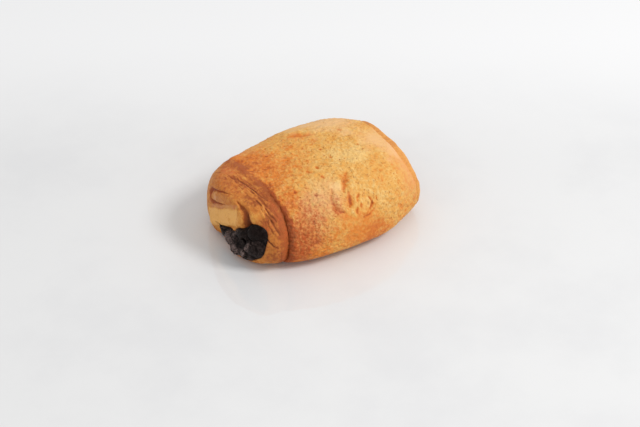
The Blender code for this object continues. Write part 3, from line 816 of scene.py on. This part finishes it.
def buildNearNose():
    profile = [(1.2, 0.0)]
    profile += [(0.2 + 0.8 * step / nearSkin["inside"], 1.0) for step in range(nearSkin["inside"], 0, -1)]
    profile += [(-step / nearSkin["round"], 1.0) for step in range(nearSkin["round"])]
    profile += [(-1 - step / nearSkin["flat"], 1.0) for step in range(nearSkin["flat"])]
    profile += [(-2.0, 0.0)]
    bm = rolledSkin(profile, nearSkin["around"])
    place, radius, angle = skinPlaces(bm)
    places = nosePlace(-place, angle, nearNose)
    places[place > 1.1, 1:] = (0, 18 * mm)
    height, torn = strokeFields(places, tears, nearSpot, 0.5, 0.15)
    seamDepth, seam = strokeFields(places, tongueSeam, facePlace, 0.25)
    foldDepth, foldShade = strokeFields(places, foldStrokes, facePlace, 0.6)
    forms = nearForms(places)
    push = 0.6 * height + seamDepth + foldDepth - nearSkin["pocket"] * forms["pocket"]
    push += 0.4 * mm * forms["tongue"] - 0.8 * mm * forms["tongueTip"] - 0.6 * mm * forms["ledge"] + 0.1 * mm * forms["band"] + 0.7 * mm * forms["bandLip"]
    push += 0.2 * mm * forms["bandEnd"] + 0.6 * mm * forms["lobe"] - 0.5 * mm * forms["stripe"] + 0.4 * mm * forms["lowLip"]
    push -= 2.8 * mm * forms["under"]
    push += 0.30 * mm * layeredNoise(places, 9 * mm, 2, 71) + 0.26 * mm * layeredNoise(places, 2.6 * mm, 3, 73)
    rimward = (places[:, 0] - tipX) / loaf["nearRim"]
    push += 0.42 * mm * forms["sheets"] - 0.40 * mm * forms["edges"] + swellingPush(places) + nearSkin["filled"] * smoothStep(rimward, 0.80, 0.98) * box(np.degrees(angle), 45, 108, 14)
    settleSkin(bm, places, np.where(place > 0.15, 0, push), loaf["lining"] * smoothStep(place, -0.02, 0.10))
    y, z = places[:, 1], places[:, 2]
    # Painted shade: the nose is darker and redder towards the low rim, where the wrap's step shades it, over some real
    # browning
    lowRimShade = smoothStep(rimward, 0.55, 0.95) * box(np.degrees(angle), 125, 215, 15)
    topLeft = smoothStep(z, 30 * mm, 37 * mm) * smoothStep(y, -12 * mm, 4 * mm)
    # outward: browner on the nose's lower right, partly as painted shade beside the chocolate
    outward = smoothStep(rimward, 0.16, 0.36) * box(np.degrees(angle), 98, 205, 14)
    brown = 0.58 + 0.16 * layeredNoise(places, 8 * mm, 3, 81) + 0.12 * topLeft
    brown -= 0.70 * forms["band"] + 0.28 * forms["lobe"] + 0.06 * forms["lowLip"] + 0.26 * forms["bandEnd"] + 0.40 * forms["sliver"]
    # The fold is darkened as painted shade in its hollow, the low rim as painted shade, and raised sheets are paler as
    # painted highlight
    brown += 0.75 * smoothStep(foldShade, 0.0, 0.6) + 0.20 * smoothStep(rimward, 0.8, 1.0) - 0.34 * forms["sheets"] + 0.40 * lowRimShade
    # The seam is a dark joint; the tears and the sunken edges between layers are darkened partly as painted shade
    brown += 0.6 * seam + 0.4 * np.clip(torn, 0, 1) + 0.28 * forms["edges"] + 0.05 * (1 - smoothStep(z, 4 * mm, 12 * mm)) + 0.24 * outward
    red = 0.75 * forms["stripe"] + 0.5 * lowRimShade + 0.25 * forms["bandEnd"] + 0.20 * topLeft + 1.2 * seam
    red += 0.6 * hump(np.hypot((places[:, 0] - tipX - 12 * mm) / 3.5, (y - 17 * mm) / 4.5), 0, mm) * (z > 30 * mm)
    red += 0.7 * hump(np.hypot(y + 7.1 * mm, z - 32.5 * mm), 0, 1.4 * mm)
    # The tongue's tip is pale as a painted highlight over paler dough
    pale = 0.75 * forms["tongueTip"] + 0.45 * forms["ledge"] + 0.3 * forms["tongue"]
    # Seam and tears darker; the fold and the ring round the chocolate's pocket darkened as painted shade
    crackshade = 0.32 * seam + 0.70 * np.clip(torn, 0, 1) + 0.75 * smoothStep(foldShade, 0.35, 1.0) + 0.75 * forms["pocketShade"]
    # Painted shade in the sheets' dips and along the edges between them
    crackshade += 0.12 * smoothStep(-forms["sheets"], 0.25, 0.7) + 0.20 * forms["edges"]
    # Painted shade under the rim's step on the low side
    crackshade += 0.35 * smoothStep(rimward, 0.93, 1.0) * box(np.degrees(angle), 115, 215, 15)
    brown += 0.34 * forms["band"] * layeredNoise(places, 1.8 * mm, 3, 83)
    grain = 0.90 - 0.20 * forms["band"] - 0.35 * forms["lobe"] - 0.2 * forms["lowLip"]
    masks = {"brown": brown, "red": red, "pale": pale, "crackshade": crackshade, "grain": grain}
    return finishPiece(bm, "nearNose", layers, masks)


nearNosePiece = buildNearNose()

# The far nose: the same roll seen from its plainer end, with one spiral seam
farSkin = {"around": 300, "inside": 5, "round": 80, "flat": 70, "pitch": 8.5 * mm, "seam": 1.3 * mm, "overlap": 0.9 * mm, "pocket": 2.0 * mm,
           "filled": 1.0 * mm}
farMiddle = (-2.5 * mm, 15 * mm)
farShare = 0.70  # of the near chocolate's size


def buildFarNose():
    profile = [(-1.2, 0.0)]
    profile += [(-0.2 - 0.8 * step / farSkin["inside"], 1.0) for step in range(farSkin["inside"], 0, -1)]
    profile += [(step / farSkin["round"], 1.0) for step in range(farSkin["round"])]
    profile += [(1 + step / farSkin["flat"], 1.0) for step in range(farSkin["flat"])]
    profile += [(2.0, 0.0)]
    bm = rolledSkin(profile, farSkin["around"])
    place, radius, angle = skinPlaces(bm)
    places = nosePlace(place, angle, farNose, near=False)
    places[place < -1.1, 1:] = (0, 18 * mm)
    y, z = places[:, 1] - farMiddle[0], places[:, 2] - farMiddle[1]
    inside = channelReach(np.arctan2(z, -y)) * farShare - np.hypot(y, z)
    pocket = smoothStep(inside, -0.3 * mm, 1.2 * mm) * (place > 1)
    distance, turn = np.hypot(y, 1.45 * z), np.arctan2(1.45 * z, y) / (2 * math.pi)
    distance += 1.5 * mm * softNoise(places, 11 * mm, 94) + 0.5 * mm * layeredNoise(places, 3 * mm, 3, 95)
    phase = np.mod(distance / farSkin["pitch"] - turn + 0.5, 1) - 0.5
    shown = smoothStep(distance, 10 * mm, 14 * mm) * (place > 0.3)
    seam = hump(phase * farSkin["pitch"], 0, 0.55 * mm) * shown * smoothStep(softNoise(places, 7 * mm, 96), -0.7, 0.1)
    layer = np.where(phase < 0, 1 + 2 * phase, 0) * shown
    nearRim = (1 - smoothStep(place, 0.06, 0.34)) * box(np.degrees(angle), 20, 150, 18)
    push = swellingPush(places) - farSkin["overlap"] * layer - farSkin["pocket"] * pocket + farSkin["filled"] * nearRim
    push += 0.55 * mm * layeredNoise(places, 8 * mm, 2, 91) + 0.35 * mm * layeredNoise(places, 2.6 * mm, 3, 93)
    lining = loaf["lining"] * smoothStep(-place, -0.02, 0.10)
    settleSkin(bm, places, np.where(place < -0.15, 0, push - farSkin["seam"] * seam), lining)
    brown = 0.34 + 0.22 * smoothStep(place, 0.2, 0.9) + 0.26 * layeredNoise(places, 8 * mm, 3, 97) + 0.20 * hump(phase, 0.12, 0.10) * shown
    brown -= 0.25 * layer - 0.06 * nearRim
    pale = 0.2 * (1 - smoothStep(place, 0.2, 0.7))
    # The spiral seam is a dark joint; the ring round the far chocolate is darkened as painted shade
    crackshade = 0.6 * seam + 0.8 * smoothStep(inside, -1.0 * mm, 0.6 * mm) * (place > 1)
    masks = {"brown": brown, "red": 0.4 * seam, "pale": pale, "crackshade": crackshade, "grain": 0.6 + 0 * brown}
    return finishPiece(bm, "farNose", layers, masks)


farNosePiece = buildFarNose()
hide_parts("dough")

# The chocolate: a lumpy broken mass in the near pocket, and a smaller one at the far end
filling = {"around": 260, "rings": 95, "proud": 2.2 * mm, "back": 9 * mm, "rough": 0.75 * mm}
# Its lumps: y, z, radius and height in millimetres, and how crumbly each one is
chocolateLumps = (
    (-25.4, 26.0, 5.8, 2.0, 0.05),
    (-16.5, 21.6, 5.6, 1.5, 0.10),
    (-8.6, 17.2, 4.4, 1.2, 0.55),
    (-4.6, 11.4, 5.2, 1.5, 0.85),
    (-9.6, 7.4, 5.4, 1.6, 1.00),
    (-25.2, 15.0, 6.8, 2.1, 0.15),
    (-17.8, 7.0, 5.0, 1.5, 0.45),
    (3.0, 11.6, 4.2, 0.8, 0.60),
)
# A raised crumbly streak down the chocolate, which also carries painted glints
chocolateStreak = ((((-23.6, 21.0), (-21.0, 15.0), (-18.6, 10.5), (-16.4, 6.4)), (0.8, 1.1, 0.8), (0.6, 1.0, 0.6), 1.0),)


# How far the chocolate stands out at (y, z), how deep in a gap each place is, which is painted as shade, and how
# crumbly, which also sets the painted glints
def lumpRelief(y, z, points):
    warp = np.stack([layeredNoise(points, 4 * mm, 3, seed) for seed in (5, 6)], axis=1) * 1.6 * mm
    y, z = y + warp[:, 0], z + warp[:, 1]
    highest, total, rough = np.zeros(len(y)), np.zeros(len(y)), np.full(len(y), 0.5)
    for lumpY, lumpZ, radius, rise, crumbly in chocolateLumps:
        distance = np.hypot(y - lumpY * mm, z - lumpZ * mm) / (radius * mm)
        dome = rise * np.clip(1 - distance ** 2.6, 0, 1)
        rough = np.where(dome > highest, crumbly, rough)
        highest = np.maximum(highest, dome)
        total += np.exp(6 * dome) - 1
    relief = np.log(1 + total) / 6 * mm
    gap = 1 - smoothStep(relief, 0.2 * mm, 0.8 * mm)
    # A deep hole, sunk and painted as shade through the gap mask
    hole = hump(np.hypot((y + 18.8 * mm) / 1.7, (z - 16.8 * mm) / 2.6), 0, mm, 3)
    streak = strokeFields(np.stack([0 * y, y, z], axis=1), chocolateStreak, lambda a, b: np.array([0, a * mm, b * mm]), 0.5)[0] / mm
    rough = np.clip(rough + 0.9 * streak, 0, 1)
    relief += 0.7 * mm * streak - 2.6 * mm * hole - 0.5 * mm * gap
    relief += filling["rough"] * (0.28 + rough) * layeredNoise(points, 2.2 * mm, 4, 33) + 0.5 * mm * layeredNoise(points, 5 * mm, 2, 35)
    return relief, np.clip(0.8 * gap + hole, 0, 1), rough


def buildNearChocolate():
    profile = [(0.0, 0.0)] + [(step / filling["rings"], 1.0) for step in range(1, filling["rings"] + 1)]
    profile += [(1 + step / 8, 1.0) for step in range(1, 9)] + [(2.1, 0.0)]
    bm = rolledSkin(profile, filling["around"])
    place, radius, angle = skinPlaces(bm)
    share = np.clip(place, 0, 1)
    below = hump(angle, math.radians(290), math.radians(60))
    reach = channelReach(angle) * share * (1 + 0.10 * below)
    y = chocolateMiddle[0] + reach * np.cos(angle)
    z = chocolateMiddle[1] + reach * np.sin(angle)
    stand = filling["proud"] * (1 - share ** 4) * (1 + 0.5 * below)
    x = onNearNose(y, np.maximum(z, 2 * mm)) - stand + np.maximum(0, place - 1) * filling["back"]
    middle = (place < 0.001) | (place > 2.05)
    y[middle], z[middle] = chocolateMiddle
    places = np.stack([x, y, z], axis=1)
    relief, gaps, rough = lumpRelief(y, z, places)
    settleSkin(bm, places, np.where(place > 1.05, 0, (relief - 0.9 * mm) * (1 - 0.8 * share ** 8)))
    return finishPiece(bm, "nearChocolate", chocolate, {"crackshade": 0.9 * gaps, "bloomGlint": rough})


nearChocolate = buildNearChocolate()
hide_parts("chocolate")


def buildFarChocolate():
    bm = bmesh.new()
    bmesh.ops.create_uvsphere(bm, u_segments=90, v_segments=60, radius=1)
    unit = np.array([vert.co for vert in bm.verts])
    angle = np.arctan2(unit[:, 2], unit[:, 1])
    ring = np.hypot(unit[:, 1], unit[:, 2]) * channelReach(angle)
    y, z = chocolateMiddle[0] + ring * np.cos(angle), chocolateMiddle[1] + ring * np.sin(angle)
    places = np.stack([
        farTipX - 2.6 * mm + 3.2 * mm * unit[:, 0],
        farMiddle[0] - ring * farShare * np.cos(angle),
        farMiddle[1] + ring * farShare * np.sin(angle),
    ], axis=1)
    relief, gaps, rough = lumpRelief(y, z, places)
    settleSkin(bm, places, 0.5 * (relief - 1.2 * mm))
    return finishPiece(bm, "farChocolate", chocolate, {"crackshade": 0.9 * gaps, "bloomGlint": 0.45 * rough})


farChocolate = buildFarChocolate()

# Floor, backdrop, light and camera
studio = {
    "view": (-34.0, 36.0),  # azimuth and elevation
    "distance": 1.122,
    "aim": (6.4 * mm, -1.1 * mm, 0.0),
    "viewAngle": 18.0,
    "floor": (0.78, 0.78, 0.78),
    "floorCloud": (0.74, 0.74, 0.745),
    # the paler far floor is painted light
    "litFarFloor": (0.88, 0.88, 0.885),
    "sky": 0.73,
    "window": 14.5,
}


def buildFloor():
    bm = bmesh.new()
    bmesh.ops.create_grid(bm, x_segments=8, y_segments=8, size=3.0)
    mesh = bpy.data.meshes.new("floor")
    bm.to_mesh(mesh)
    bm.free()
    material, desk, shader = newMaterial("paleStone")
    place = desk.add("ShaderNodeTexCoord").outputs["Object"]
    cloud = desk.noise(place, 90 * mm, 5.0, 0.6)
    colour = desk.mix(desk.ease(cloud, 0.3, 0.6), (*studio["floorCloud"], 1), (*studio["floor"], 1))
    onward = desk.add("ShaderNodeVectorMath", {"operation": "DOT_PRODUCT"})
    desk.feed(onward, 0, place)
    desk.feed(onward, 1, (0.559, 0.829, 0))
    # Painted light: the floor gets paler away from the camera
    colour = desk.mix(desk.ease(onward.outputs["Value"], 40 * mm, 200 * mm), colour, (*studio["litFarFloor"], 1))
    desk.feed(shader, "Base Color", colour)
    shader.inputs["Roughness"].default_value = 0.012
    mesh.materials.append(material)
    floor = bpy.data.objects.new("floor", mesh)
    bpy.context.scene.collection.objects.link(floor)


def addLight(name, place, size, power, tint=(1, 1, 1)):
    light = bpy.data.lights.new(name, "AREA")
    light.shape = "SQUARE"
    light.size = size
    light.energy = power
    light.color = tint
    lamp = bpy.data.objects.new(name, light)
    bpy.context.scene.collection.objects.link(lamp)
    lamp.location = place
    lamp.rotation_euler = (-Vector(place)).to_track_quat("-Z", "Y").to_euler()


def buildStudio():
    buildFloor()
    world = bpy.data.worlds.new("studio")
    world.use_nodes = True
    world.node_tree.nodes["Background"].inputs["Color"].default_value = (1.0, 1.0, 1.0, 1)
    world.node_tree.nodes["Background"].inputs["Strength"].default_value = studio["sky"]
    bpy.context.scene.world = world
    addLight("windowLight", (0.70, -0.94, 1.25), 0.5, studio["window"])
    bpy.context.scene.view_settings.view_transform = "Standard"


def buildCamera():
    azimuth, elevation = (math.radians(value) for value in studio["view"])
    back = Vector((math.sin(azimuth) * math.cos(elevation), -math.cos(azimuth) * math.cos(elevation), math.sin(elevation)))
    lens = bpy.data.cameras.new("camera")
    lens.sensor_width = 36
    lens.lens = 18 / math.tan(math.radians(studio["viewAngle"] / 2))
    camera = bpy.data.objects.new("camera", lens)
    bpy.context.scene.collection.objects.link(camera)
    camera.location = Vector(studio["aim"]) + back * studio["distance"]
    camera.rotation_euler = (-back).to_track_quat("-Z", "Y").to_euler()
    bpy.context.scene.camera = camera


buildStudio()
buildCamera()
print("studio set")
